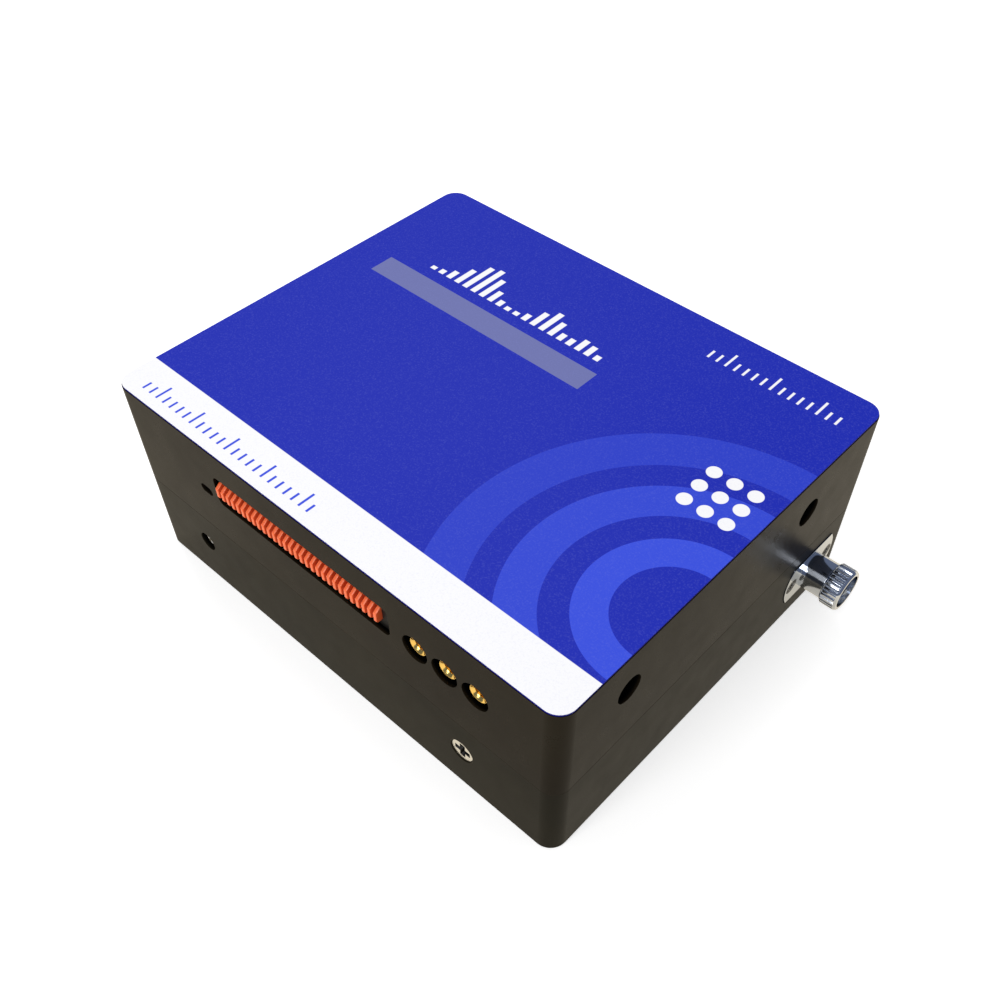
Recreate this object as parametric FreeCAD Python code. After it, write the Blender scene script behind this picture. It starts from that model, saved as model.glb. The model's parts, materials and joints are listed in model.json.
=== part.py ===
import FreeCAD, Part
import math
import os

# A fibre optic spectrometer: a two-part milled housing with the optical bench below and the electronics above.
# Millimetres. +X is out of the short face with the fibre port, -Y is out of the long face with the
# connector slot, +Z is up, and the origin is the centre of the base.

# Housing
housing_length = 110.0
housing_width = 90.5
overall_height = 43.0
corner_radius = 3.5
cavity_corner_radius = 2.0
wall = 4.0
floor_thickness = 4.5
roof_thickness = 2.5
seam_height = 19.5
seam_bevel = 0.1
base_bevel = 0.4
label_thickness = 0.4
label_inset = 0.15

# Room round threads and in through holes, beyond a screw's tip, and past the end of a cut or a fused form
thread_gap = 0.03
hole_gap = 0.2
tip_room = 0.5
overrun = 1.0
root = 0.5

# Screws: the radius is the thread's outside
m2_radius = 1.0
m2_head_radius = 1.7
m2_head_height = 1.2
m25_radius = 1.25
m25_head_radius = 2.25
m25_head_height = 1.5
m3_radius = 1.5
m3_flat_head_radius = 2.7
flat_head_rim = 0.15
cap_head_chamfer = 0.3

# Recesses and crowns, as shares of the head that they belong to
hex_width_share = 0.95
hex_depth_share = 0.5
driver_slot_width_share = 0.3
driver_slot_depth_share = 0.5
cross_blade_share = 0.22
pan_cross_share = 1.1
pan_cross_depth_share = 0.6
pan_shoulder_share = 0.5
pan_crown_share = 0.7
flat_cross_share = 1.25
flat_cross_depth_share = 0.8

# Tapped holes in the base, for a stranger's bracket
base_hole_inset_x = 15.0
base_hole_inset_y = 13.25
base_hole_depth = 3.6

# Lid over the optical bench, its gasket and its screws
lid_thickness = 1.5
lid_ledge = 1.5
lid_gap = 0.15
lid_underside_gap = 0.4
gasket_thickness = 0.5
lid_boss_radius = 3.0
lid_boss_inset = 2.4
lid_boss_front_from_left = (9.0, 47.0)
lid_boss_front_from_right = 33.0
lid_boss_back_from_left = (29.0, 57.0)
lid_boss_back_from_right = 27.0
lid_boss_past_trap = 1.1
lid_screw_length = 8.0

# Cover screws: cap screws sunk in the short faces, and the posts that they thread into
cover_screw_drop = 9.1
cover_screw_from_front = 16.75
cover_screw_from_back = 22.5
cap_head_radius = 2.7
cap_head_height = 3.0
counterbore_radius = 2.85
counterbore_depth = 4.9
counterbore_web = 1.2
screw_pad_radius = 5.0
cover_screw_length = 6.5
post_depth = 6.0
post_width = 8.0
post_above_screw = 4.5
post_screw_length = 8.0

# Fibre port
port_from_back = 13.4
port_height = 10.2
flange_radius = 8.3
flange_flat_height = 9.7
flange_thickness = 2.0
flange_proud = 0.2
flange_gap = 0.15
collar_radius = 3.9
collar_to_ring = 0.15
barrel_radius = 3.175
barrel_reach = 7.4
barrel_chamfer = 0.3
spigot_radius = 4.5
spigot_gap = 0.1
port_pad_depth = 4.5
port_pad_margin = 1.6
port_pad_height = 16.0
ferrule_bore_radius = 1.6
bore_lead_in = 0.35
port_screw_edge = 2.0
port_screw_head_radius = 1.7
port_screw_length = 6.0

# Entrance slit and the threaded ring that holds it
slit_seat_radius = 3.0
slit_seat_depth = 2.0
slit_disc_thickness = 0.6
slit_disc_gap = 0.05
slit_width = 0.2
slit_height = 1.6
retainer_bore_radius = 1.8
retainer_slot_width = 0.8
retainer_slot_depth = 0.5

# Knurled ring on the barrel, and the clip that holds it
ring_thickness = 1.3
ring_start = 5.3
ring_length = 3.7
ring_running_gap = 0.05
ring_end_gap = 0.1
ring_front_step = 0.375
ring_rear_chamfer = 0.3
ring_front_chamfer = 0.5
ring_front_chamfer_drop = 0.3
flute_count = 30
flute_width = 0.56
flute_depth = 0.32
clip_station = 6.5
clip_thickness = 0.5
clip_seat_depth = 0.275
clip_stand = 0.325
clip_gap = 0.1
clip_groove_gap = 0.05
clip_floor_gap = 0.02
clip_opening_degrees = 60.0

# Long face: flush screw into the detector bracket, and the sunk screw that trims the focusing mirror
bracket_screw_from_right = 21.3
bracket_screw_height = 11.0
bracket_head_radius = 2.45
bracket_screw_sink = 0.25
trim_screw_from_left = 17.4
trim_screw_height = 11.25
trim_head_radius = 1.9
trim_head_height = 1.6
trim_seat_radius = 2.1
trim_recess = 0.8
trim_pad_radius = 4.0
trim_pad_thickness = 2.0
trim_tip_gap = 0.5

# Main board, standing on the lid
board_drop = 13.4
board_thickness = 1.6
board_edge_gap = 1.0
board_notch_gap = 0.6
board_back_inset = 11.25
standoff_inset_x = 13.0
standoff_from_board_front = 11.25
standoff_from_board_back = 4.0
standoff_across_flats = 5.0
board_screw_length = 5.0

# Coaxial jacks, counted from the right
jack_count = 3
jack_from_right = 17.4
jack_spacing = 6.75
jack_hole_radius = 2.9
jack_radius = 2.0
jack_bore_radius = 1.25
jack_recess = 0.8
jack_rim_chamfer = 0.12
jack_mouth_flare = 0.55
jack_base_side_gap = 0.75
jack_base_height = 5.7
jack_base_depth = 6.0
jack_base_gap = 0.3
jack_insulator_length = 2.0
jack_contact_radius = 0.42
jack_contact_tip = 0.15
jack_contact_length = 3.4
insulator_gap = 0.02

# Connector slot beside the jacks, and the 30-way comb in it
slot_from_jack = 5.9
slot_height = 6.9
slot_axis_above_board = 4.0
slot_corner_radius = 1.5
fin_count = 30
fin_spacing = 1.442
fin_thickness = 0.78
fin_height = 3.3
fin_proud = 0.35
fin_depth = 3.2
fin_brow_depth = 1.15
fin_brow_drop = 0.85
fin_lip = 0.4
fin_left_margin = 0.9
fin_right_margin = 3.08
comb_spine = 1.0
shroud_gap = 0.12
shroud_recess = 0.9
shroud_depth = 12.5
shroud_side_margin = 1.5
shroud_wall_gap = 0.2
shroud_body_height = 8.2
channel_side_gap = 0.1
channel_head_room = 0.6
contact_width = 0.5
contact_reach = 1.5
contact_thickness = 0.4

# Status light beside the slot, and its guide
light_from_slot = 3.4
light_axis_above_board = 1.55
light_slot_length = 3.4
light_slot_height = 1.9
light_guide_gap = 0.06
light_guide_recess = 0.6
light_guide_reach = 0.6
status_light_depth = 1.5
status_light_inset = 0.2
status_light_above_axis = 0.6

# Data socket on the hidden short face
socket_width = 7.7
socket_height = 3.9
socket_depth = 9.3
socket_wall = 0.4
socket_gap = 0.3
socket_corner_radius = 0.8
plug_pocket_width = 12.5
plug_pocket_height = 9.0
plug_pocket_depth = 2.0
plug_pocket_corner_radius = 1.5
tongue_width = 5.0
tongue_thickness = 1.2
tongue_recess = 1.0
tongue_block_depth = 1.5
tongue_block_gap = 0.2
socket_contact_count = 5
socket_contact_spacing = 0.8
socket_contact_width = 0.4
socket_contact_length = 4.5
socket_contact_thickness = 0.12
socket_contact_recess = 1.4

# Optical bench, laid out from the walls
collimator_from_left = 15.5
grating_from_right = 26.0
grating_from_back = 33.25
focuser_from_left = 16.3
focuser_from_front = 17.25
optic_height = 10.0
mirror_width = 12.0
mirror_thickness = 4.0
grating_width = 12.0
grating_thickness = 5.0
grating_tilt_degrees = 9.0
grating_plate_inset = 2.0
mount_plate = 2.5
mount_margin = 0.8
mount_lip = 1.5
mount_rib_width = 2.0
mount_rib_share = 0.35
mount_foot_length = 7.0
mount_foot_thickness = 2.5
mount_screw_share = 0.6
mount_screw_side = 0.5
optic_screw_length = 5.0
turntable_radius = 8.5
turntable_thickness = 2.5
turntable_screw_radius = 6.4
turntable_screw_degrees = 60.0
turntable_head_radius = 2.0

# Detector, its board and its bracket
detector_length = 41.6
detector_height = 9.6
detector_thickness = 3.0
detector_well_depth = 1.2
detector_well_end = 1.5
detector_well_side = 1.25
detector_board_margin = 3.7
detector_board_end_gap = 1.25
detector_board_gap = 0.5
detector_board_floor_gap = 0.3
detector_board_screw_inset = 1.8
bracket_plate = 1.5
bracket_foot = 1.8
bracket_wall_gap = 0.2
bracket_screw_margin = 4.0
bracket_pad_width = 3.4
bracket_pad_height = 5.0
window_inset = 2.8
window_height = 8.0
window_thickness = 0.7
filter_thickness = 1.0
sensor_length = 29.1
sensor_height = 1.6
sensor_thickness = 0.4
header_from_front = 34.5
header_pins = 8
header_pin_spacing = 2.54
header_pin_width = 0.64
header_hole_width = 0.84
header_depth = 2.5
header_above_package = 0.2
header_to_socket = 1.1
header_pin_to_board = 3.0

# Light baffle and light trap
baffle_length = 14.0
baffle_thickness = 1.2
baffle_wall_gap = 1.0
trap_length = 19.8
trap_thickness = 1.5
trap_tooth = 1.5
trap_teeth = 9

# Largest pieces on the main board, placed from its centre line and its front or back edge
processor_side = 14.0
processor_height = 1.4
processor_from_middle = -4.0
processor_from_front = 28.25
converter_side = 7.0
converter_height = 1.0
converter_from_middle = 26.0
converter_from_front = 26.25
memory_length = 11.0
memory_width = 8.0
memory_height = 1.2
memory_from_middle = -26.0
memory_from_front = 26.25
capacitor_count = 3
capacitor_radius = 3.1
capacitor_height = 5.8
capacitor_shoulder = 0.4
capacitor_spacing = 8.0
capacitor_from_middle = -24.0
capacitor_from_back = 6.0

# Faces and levels worked out from the sizes above
right = housing_length / 2
left = -right
back = housing_width / 2
front = -back
inner_right = right - wall
inner_left = -inner_right
inner_back = back - wall
inner_front = -inner_back
metal_top = overall_height - label_thickness
ceiling = metal_top - roof_thickness
lid_bottom = seam_height - lid_thickness
ledge_height = lid_bottom - gasket_thickness
bench_top = lid_bottom - lid_underside_gap
board_top = metal_top - board_drop
board_bottom = board_top - board_thickness
board_right = inner_right - board_edge_gap
board_front = inner_front + board_edge_gap
board_back = back - board_back_inset
out_of_port = FreeCAD.Vector(1, 0, 0)
into_front = FreeCAD.Vector(0, 1, 0)
upward = FreeCAD.Vector(0, 0, 1)

parts = {}


def point(x, y, z):
    return FreeCAD.Vector(x, y, z)


def span(centre, size):
    return (centre - size / 2, centre + size / 2)


def four_corners(x, y):
    return [(i * x, j * y) for i in (-1, 1) for j in (-1, 1)]


def block(x, y, z):
    corner = point(min(x), min(y), min(z))
    return Part.makeBox(abs(x[1] - x[0]), abs(y[1] - y[0]), abs(z[1] - z[0]), corner)


def rounded(solid, radius, along):
    # Rounds the edges of a box that run along one axis
    edges = [e for e in solid.Edges if abs(e.tangentAt(e.FirstParameter).dot(along)) > 0.99]
    return solid.makeFillet(radius, edges)


def upright_block(x, y, z, radius):
    return rounded(block(x, y, z), radius, upward)


def bevel_level(solid, level, size):
    # Bevels the edges that lie flat at one level
    edges = [e for e in solid.Edges if abs(e.BoundBox.ZMin - level) + abs(e.BoundBox.ZMax - level) < 0.01]
    return solid.makeChamfer(size, edges)


def rod(radius, start, end):
    return Part.makeCylinder(radius, (end - start).Length, start, end - start)


def upright_rod(radius, x, y, low, high):
    return rod(radius, point(x, y, low), point(x, y, high))


def placed(solid, origin, axis):
    # Stands a solid that was made about +Z on an origin, with its +Z along the axis given
    moved = solid.copy()
    moved.Placement = FreeCAD.Placement(origin, FreeCAD.Rotation(upward, axis))
    return moved


def turned(profile, origin, axis):
    # Revolves (station, radius) pairs about an axis; stations count from the origin along it
    points = [point(radius, 0, station) for station, radius in profile]
    face = Part.Face(Part.makePolygon(points + points[:1]))
    return placed(face.revolve(point(0, 0, 0), upward, 360), origin, axis)


def prism(points, depth):
    return Part.Face(Part.makePolygon(points + points[:1])).extrude(depth)


def group(solids):
    return Part.makeCompound(solids)


def hexagon(across_flats, low, high):
    radius = across_flats / math.sqrt(3)
    angles = [math.radians(60 * i) for i in range(6)]
    corners = [point(radius * math.cos(angle), radius * math.sin(angle), low) for angle in angles]
    return prism(corners, upward * (high - low))


def cross_recess(width, depth, top):
    blade = cross_blade_share * width
    levels = (top - depth, top + overrun)
    arm = block(span(0, width), span(0, blade), levels)
    return arm.fuse(block(span(0, blade), span(0, width), levels))


# Each screw is made about +Z with its seat at zero, its shank below and its head above
def socket_screw(radius, length, head_radius, head_height):
    body = turned(
        [(-length, 0), (-length, radius), (0, radius), (0, head_radius),
         (head_height - cap_head_chamfer, head_radius), (head_height, head_radius - cap_head_chamfer),
         (head_height, 0)],
        point(0, 0, 0), upward,
    )
    return body.cut(hexagon(
        head_radius * hex_width_share, head_height * (1 - hex_depth_share), head_height + overrun,
    ))


def slotted_screw(radius, length, head_radius, head_height):
    body = turned(
        [(-length, 0), (-length, radius), (0, radius), (0, head_radius), (head_height, head_radius),
         (head_height, 0)],
        point(0, 0, 0), upward,
    )
    return body.cut(block(
        span(0, 2 * (head_radius + overrun)), span(0, head_radius * driver_slot_width_share),
        (head_height * (1 - driver_slot_depth_share), head_height + overrun),
    ))


def pan_screw(radius, length, head_radius, head_height):
    body = turned(
        [(-length, 0), (-length, radius), (0, radius), (0, head_radius),
         (head_height * pan_shoulder_share, head_radius), (head_height, head_radius * pan_crown_share),
         (head_height, 0)],
        point(0, 0, 0), upward,
    )
    return body.cut(cross_recess(
        head_radius * pan_cross_share, head_height * pan_cross_depth_share, head_height,
    ))


def flat_screw(radius, length, head_radius):
    # A countersunk screw, with its top face at zero
    cone = head_radius - radius
    body = turned(
        [(-length, 0), (-length, radius), (-cone, radius), (-flat_head_rim, head_radius),
         (0, head_radius), (0, 0)],
        point(0, 0, 0), upward,
    )
    return body.cut(cross_recess(head_radius * flat_cross_share, cone * flat_cross_depth_share, 0))


def countersink(radius, length, head_radius, origin, axis):
    # The seat of a flat screw: its own cone and shank with a little room round them
    cone = head_radius - radius
    return turned(
        [(-length, 0), (-length, radius + thread_gap), (-cone - thread_gap, radius + thread_gap),
         (-flat_head_rim - thread_gap, head_radius + thread_gap), (overrun, head_radius + thread_gap),
         (overrun, 0)],
        origin, axis,
    )


# Places on the fibre port's axis, counted outwards from the short face
port_y = back - port_from_back
port_screw_offset = flange_radius - port_screw_edge
port_pad_half_width = port_screw_offset + m2_radius + port_pad_margin
flange_back = flange_proud - flange_thickness
spigot_end = -(wall + port_pad_depth)
slit_face = spigot_end + slit_seat_depth


def port_station(distance):
    return point(right + distance, port_y, port_height)


port_screw_points = [
    port_station(flange_proud) + into_front * side * port_screw_offset for side in (-1, 1)
]


def double_d(radius, flat_height, start, end):
    # A disc with two flats, for the flange and for its seat
    disc = rod(radius, port_station(start), port_station(end))
    slab = block(
        (right + start, right + end), span(port_y, 2 * (radius + overrun)), span(port_height, flat_height),
    )
    return disc.common(slab)


# Lower housing: the tub that holds the optical bench
base_holes = four_corners(right - base_hole_inset_x, back - base_hole_inset_y)
lid_boss_front_row = [left + x for x in lid_boss_front_from_left] + [right - lid_boss_front_from_right]
lid_boss_back_row = [left + x for x in lid_boss_back_from_left] + [right - lid_boss_back_from_right]
lid_bosses = (
    [(x, inner_front + lid_boss_inset) for x in lid_boss_front_row]
    + [(x, inner_back - lid_boss_inset) for x in lid_boss_back_row]
    + [(inner_left + lid_boss_inset, trap_length / 2 + lid_boss_radius + lid_boss_past_trap)]
)
bracket_screw_point = point(right - bracket_screw_from_right, front + bracket_screw_sink, bracket_screw_height)
trim_screw_point = point(left + trim_screw_from_left, front, trim_screw_height)
trim_seat_depth = trim_recess + trim_head_height
trim_pad_face = wall + trim_pad_thickness


def lower_housing(optic_holes):
    shell = upright_block((left, right), (front, back), (0, seam_height), corner_radius)
    shell = bevel_level(shell, seam_height, seam_bevel)
    shell = bevel_level(shell, 0, base_bevel)
    shell = shell.cut(upright_block(
        (inner_left, inner_right), (inner_front, inner_back), (floor_thickness, seam_height + overrun),
        cavity_corner_radius,
    ))
    pads = [upright_rod(lid_boss_radius, x, y, floor_thickness, ledge_height) for x, y in lid_bosses]
    pads.append(block(
        (inner_right - port_pad_depth, inner_right), (port_y - port_pad_half_width, inner_back),
        (floor_thickness, port_pad_height),
    ))
    pads.append(rod(
        trim_pad_radius, trim_screw_point + into_front * wall, trim_screw_point + into_front * trim_pad_face,
    ))
    shell = shell.fuse(pads)
    cuts = [upright_block(
        (inner_left - lid_ledge, inner_right + lid_ledge), (inner_front - lid_ledge, inner_back + lid_ledge),
        (ledge_height, seam_height + overrun), cavity_corner_radius,
    )]
    cuts.append(double_d(flange_radius + flange_gap, flange_flat_height + 2 * flange_gap, flange_back, overrun))
    cuts.append(rod(spigot_radius + spigot_gap, port_station(spigot_end - overrun), port_station(overrun)))
    for spot in port_screw_points:
        cuts.append(rod(m2_radius + thread_gap, spot - out_of_port * (port_screw_length + tip_room), spot))
    cuts.append(countersink(
        m3_radius, wall + overrun, bracket_head_radius, bracket_screw_point, into_front * -1,
    ))
    mouth_radius = bracket_head_radius + thread_gap
    flare = bracket_screw_sink + overrun
    cuts.append(turned(
        [(0, 0), (0, mouth_radius), (flare, mouth_radius + flare), (flare, 0)],
        bracket_screw_point, into_front * -1,
    ))
    cuts.append(rod(
        trim_seat_radius, trim_screw_point - into_front * overrun,
        trim_screw_point + into_front * trim_seat_depth,
    ))
    cuts.append(rod(
        m25_radius + thread_gap, trim_screw_point, trim_screw_point + into_front * (trim_pad_face + overrun),
    ))
    for x, y in base_holes:
        cuts.append(upright_rod(m3_radius, x, y, -overrun, base_hole_depth))
    for x, y in lid_bosses:
        low = seam_height - lid_screw_length - tip_room
        cuts.append(upright_rod(m25_radius + thread_gap, x, y, low, seam_height))
    for x, y, depth in optic_holes:
        low = floor_thickness - depth
        cuts.append(upright_rod(m25_radius + thread_gap, x, y, low, floor_thickness + overrun))
    return shell.cut(cuts)


# Upper housing: the cover over the electronics. Its openings follow each other from the right
comb_length = (fin_count - 1) * fin_spacing
slot_length = fin_left_margin + comb_length + fin_right_margin
jack_stations = [right - jack_from_right - i * jack_spacing for i in range(jack_count)]
slot_right = jack_stations[-1] - slot_from_jack
slot_left = slot_right - slot_length
slot_middle = (slot_left + slot_right) / 2
slot_axis = board_top + slot_axis_above_board
jack_axis = board_top + jack_base_height / 2
light_x = slot_left - light_from_slot
light_axis = board_top + light_axis_above_board
socket_axis = board_top + socket_height / 2
cover_screw_height = metal_top - cover_screw_drop
cover_screw_rows = (front + cover_screw_from_front, back - cover_screw_from_back)
cover_screw_points = [
    (point(side * right, y, cover_screw_height), out_of_port * -side)
    for side in (-1, 1) for y in cover_screw_rows
]
pad_face = counterbore_depth + counterbore_web


def slot_block(length, height, start, end, radius):
    opening = block(span(slot_middle, length), (front + start, front + end), span(slot_axis, height))
    return rounded(opening, radius, into_front)


def side_pocket(width, height, start, end, radius):
    opening = block((left + start, left + end), span(0, width), span(socket_axis, height))
    return rounded(opening, radius, out_of_port)


def light_oblong(gap, start, end):
    length = light_slot_length - 2 * gap
    height = light_slot_height - 2 * gap
    middle = length - height
    core = block(span(light_x, middle), (front + start, front + end), span(light_axis, height))
    ends = [
        rod(height / 2, point(x, front + start, light_axis), point(x, front + end, light_axis))
        for x in span(light_x, middle)
    ]
    return core.fuse(ends).removeSplitter()


def upper_housing():
    shell = upright_block((left, right), (front, back), (seam_height, metal_top), corner_radius)
    shell = shell.cut(upright_block(
        (inner_left, inner_right), (inner_front, inner_back), (seam_height - overrun, ceiling),
        cavity_corner_radius,
    ))
    shell = shell.fuse([
        rod(screw_pad_radius, spot + inward * (wall - root), spot + inward * pad_face)
        for spot, inward in cover_screw_points
    ])
    cuts = [slot_block(slot_length, slot_height, -overrun, wall + overrun, slot_corner_radius)]
    for spot, inward in cover_screw_points:
        cuts.append(rod(counterbore_radius, spot - inward * overrun, spot + inward * counterbore_depth))
        cuts.append(rod(m3_radius + hole_gap, spot, spot + inward * (pad_face + overrun)))
    for x in jack_stations:
        mouth = point(x, front, jack_axis)
        cuts.append(rod(jack_hole_radius, mouth - into_front * overrun, mouth + into_front * (wall + overrun)))
    cuts.append(light_oblong(0, -overrun, wall + overrun))
    cuts.append(side_pocket(
        plug_pocket_width, plug_pocket_height, -overrun, plug_pocket_depth, plug_pocket_corner_radius,
    ))
    cuts.append(side_pocket(
        socket_width + 2 * socket_gap, socket_height + 2 * socket_gap, 0, wall + overrun,
        socket_corner_radius,
    ))
    return shell.cut(cuts)


def top_label():
    return upright_block(
        (left + label_inset, right - label_inset), (front + label_inset, back - label_inset),
        (metal_top, overall_height), corner_radius - label_inset,
    )


# Lid, gasket and the posts that take the cover screws
lid_reach_x = inner_right + lid_ledge - lid_gap
lid_reach_y = inner_back + lid_ledge - lid_gap
post_outer = right - pad_face - hole_gap / 2
post_middle = post_outer - post_depth / 2
post_inner = post_outer - post_depth
post_spots = [(side * post_middle, y) for side in (-1, 1) for y in cover_screw_rows]
board_holes = [
    (side * (board_right - standoff_inset_x), y)
    for side in (-1, 1)
    for y in (board_front + standoff_from_board_front, board_back - standoff_from_board_back)
]

# Faces of the detector's stack, from the wall inwards
bracket_outer = inner_right - bracket_wall_gap
detector_board_rear = bracket_outer - bracket_plate - detector_board_gap
detector_board_front = detector_board_rear - board_thickness
package_front = detector_board_front - detector_thickness
window_front = package_front - window_thickness
bracket_front = inner_front + bracket_wall_gap
detector_board_length = detector_length + 2 * detector_board_margin
detector_board_start = bracket_front + bracket_foot + detector_board_end_gap
detector_board_end = detector_board_start + detector_board_length
detector_y = (detector_board_start + detector_board_end) / 2
detector_screw_rows = (
    detector_board_start + detector_board_screw_inset, detector_board_end - detector_board_screw_inset,
)
header_x = detector_board_front - header_depth / 2
header_y = front + header_from_front
header_length = header_pins * header_pin_spacing
header_pin_top = board_bottom - header_pin_to_board
header_rows = [
    header_y + (i - (header_pins - 1) / 2) * header_pin_spacing for i in range(header_pins)
]


def lid_outline(low, high):
    return upright_block(
        (-lid_reach_x, lid_reach_x), (-lid_reach_y, lid_reach_y), (low, high),
        cavity_corner_radius - lid_gap,
    )


def bench_lid():
    low = lid_bottom - overrun
    high = seam_height + overrun
    cuts = [upright_rod(m25_radius + hole_gap, x, y, low, high) for x, y in lid_bosses]
    cuts += [upright_rod(m25_radius + thread_gap, x, y, low, high) for x, y in board_holes]
    cuts += [
        countersink(m3_radius, lid_thickness + overrun, m3_flat_head_radius, point(x, y, lid_bottom), upward * -1)
        for x, y in post_spots
    ]
    cuts.append(block(
        span(header_x, header_depth + 2 * tip_room), span(header_y, header_length + 2 * tip_room), (low, high),
    ))
    return lid_outline(lid_bottom, seam_height).cut(cuts)


def lid_gasket():
    low = ledge_height - overrun
    high = lid_bottom + overrun
    inside = upright_block(
        (inner_left, inner_right), (inner_front, inner_back), (low, high), cavity_corner_radius,
    )
    pads = [upright_rod(lid_boss_radius, x, y, ledge_height, lid_bottom) for x, y in lid_bosses]
    holes = [upright_rod(m25_radius + hole_gap, x, y, low, high) for x, y in lid_bosses]
    return lid_outline(ledge_height, lid_bottom).cut(inside).fuse(pads).cut(holes).removeSplitter()


def lid_screws():
    screw = slotted_screw(m25_radius, lid_screw_length, m25_head_radius, m25_head_height)
    return group([placed(screw, point(x, y, seam_height), upward) for x, y in lid_bosses])


def cover_posts():
    posts = []
    for (x, y), (spot, inward) in zip(post_spots, cover_screw_points):
        post = block(
            span(x, post_depth), span(y, post_width), (seam_height, cover_screw_height + post_above_screw),
        )
        across = rod(m3_radius + thread_gap, spot, spot + inward * (pad_face + post_depth + overrun))
        hole_top = lid_bottom + post_screw_length + tip_room
        below = upright_rod(m3_radius + thread_gap, x, y, seam_height - overrun, hole_top)
        posts.append(post.cut([across, below]))
    return group(posts)


def post_screws():
    screw = flat_screw(m3_radius, post_screw_length, m3_flat_head_radius)
    return group([placed(screw, point(x, y, lid_bottom), upward * -1) for x, y in post_spots])


def cover_screws():
    screw = socket_screw(m3_radius, cover_screw_length, cap_head_radius, cap_head_height)
    return group([
        placed(screw, spot + inward * counterbore_depth, inward * -1) for spot, inward in cover_screw_points
    ])


# Fibre port
clip_inner_radius = barrel_radius - clip_seat_depth
clip_outer_radius = barrel_radius + clip_stand
ring_radius = barrel_radius + ring_thickness


def fibre_port_body():
    # A flange, a spigot behind it, and a barrel whose thicker root stops the turning ring
    body = double_d(flange_radius, flange_flat_height, flange_back, flange_proud)
    collar_end = ring_start - collar_to_ring
    body = body.fuse([
        rod(spigot_radius, port_station(spigot_end), port_station(flange_back + root)),
        turned(
            [(0, 0), (0, collar_radius), (collar_end, collar_radius), (collar_end, barrel_radius),
             (barrel_reach - barrel_chamfer, barrel_radius), (barrel_reach, barrel_radius - barrel_chamfer),
             (barrel_reach, 0)],
            port_station(0), out_of_port,
        ),
    ]).removeSplitter()
    cuts = [rod(ferrule_bore_radius, port_station(spigot_end - overrun), port_station(barrel_reach + overrun))]
    cuts.append(turned(
        [(barrel_reach - bore_lead_in, 0), (barrel_reach - bore_lead_in, ferrule_bore_radius),
         (barrel_reach + overrun, ferrule_bore_radius + bore_lead_in + overrun), (barrel_reach + overrun, 0)],
        port_station(0), out_of_port,
    ))
    cuts.append(rod(slit_seat_radius, port_station(spigot_end - overrun), port_station(slit_face)))
    start, end = span(clip_station, clip_thickness + 2 * clip_groove_gap)
    groove = rod(barrel_radius + overrun, port_station(start), port_station(end))
    core = rod(clip_inner_radius - clip_floor_gap, port_station(start), port_station(end))
    cuts.append(groove.cut(core))
    for spot in port_screw_points:
        cuts.append(countersink(
            m2_radius, flange_thickness + overrun, port_screw_head_radius, spot, out_of_port,
        ))
    return body.cut(cuts)


def port_screws():
    screw = flat_screw(m2_radius, port_screw_length, port_screw_head_radius)
    return group([placed(screw, spot, out_of_port) for spot in port_screw_points])


def coupling_ring():
    end = ring_start + ring_length
    bore = barrel_radius + ring_running_gap
    front_bore = barrel_radius + ring_front_step
    step = barrel_reach + ring_end_gap
    groove = clip_outer_radius + clip_gap
    groove_start, groove_end = span(clip_station, clip_thickness + 2 * clip_gap)
    ring = turned(
        [(ring_start, bore), (ring_start, ring_radius - ring_rear_chamfer),
         (ring_start + ring_rear_chamfer, ring_radius), (end - ring_front_chamfer, ring_radius),
         (end, ring_radius - ring_front_chamfer_drop), (end, front_bore), (step, front_bore), (step, bore),
         (groove_end, bore), (groove_end, groove), (groove_start, groove), (groove_start, bore)],
        port_station(0), out_of_port,
    )
    spread = flute_width / 2 * (1 + overrun / flute_depth)
    flutes = []
    for i in range(flute_count):
        angle = 2 * math.pi * i / flute_count
        outwards = point(0, math.cos(angle), math.sin(angle))
        across = point(0, -math.sin(angle), math.cos(angle))
        valley = port_station(ring_start - overrun) + outwards * (ring_radius - flute_depth)
        rim = valley + outwards * (flute_depth + overrun)
        flutes.append(prism(
            [valley, rim + across * spread, rim - across * spread],
            out_of_port * (overrun + ring_length - ring_front_chamfer),
        ))
    return ring.cut(flutes)


def ring_clip():
    start, end = span(clip_station, clip_thickness)
    clip = rod(clip_outer_radius, port_station(start), port_station(end))
    clip = clip.cut(rod(clip_inner_radius, port_station(start - overrun), port_station(end + overrun)))
    reach = 2 * clip_outer_radius
    spread = math.radians(clip_opening_degrees / 2)
    middle = port_station(start - overrun)
    wedge = prism(
        [middle] + [
            middle + point(0, side * reach * math.sin(spread), -reach * math.cos(spread)) for side in (-1, 1)
        ],
        out_of_port * (clip_thickness + 2 * overrun),
    )
    return clip.cut(wedge)


def slit_disc():
    disc = rod(
        slit_seat_radius - slit_disc_gap, port_station(slit_face - slit_disc_thickness), port_station(slit_face),
    )
    slot = block(
        (right + spigot_end, right + slit_face + overrun), span(port_y, slit_width),
        span(port_height, slit_height),
    )
    return disc.cut(slot)


def slit_retainer():
    disc_back = slit_face - slit_disc_thickness
    ring = rod(slit_seat_radius - thread_gap, port_station(spigot_end), port_station(disc_back))
    ring = ring.cut(rod(retainer_bore_radius, port_station(spigot_end - overrun), port_station(slit_face)))
    key_slot = block(
        (right + spigot_end - overrun, right + spigot_end + retainer_slot_depth),
        span(port_y, 2 * (slit_seat_radius + overrun)), span(port_height, retainer_slot_width),
    )
    return ring.cut(key_slot)


# Optics. Each one is made facing +X with the centre of its face at the origin, then turned to its heading
slit_spot = port_station(slit_face)
collimator_spot = point(inner_left + collimator_from_left, port_y, port_height)
focuser_spot = point(inner_left + focuser_from_left, inner_front + focuser_from_front, port_height)
grating_spot = point(inner_right - grating_from_right, inner_back - grating_from_back, port_height)
detector_spot = point(window_front, detector_y, port_height)
floor_level = floor_thickness - port_height


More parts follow.
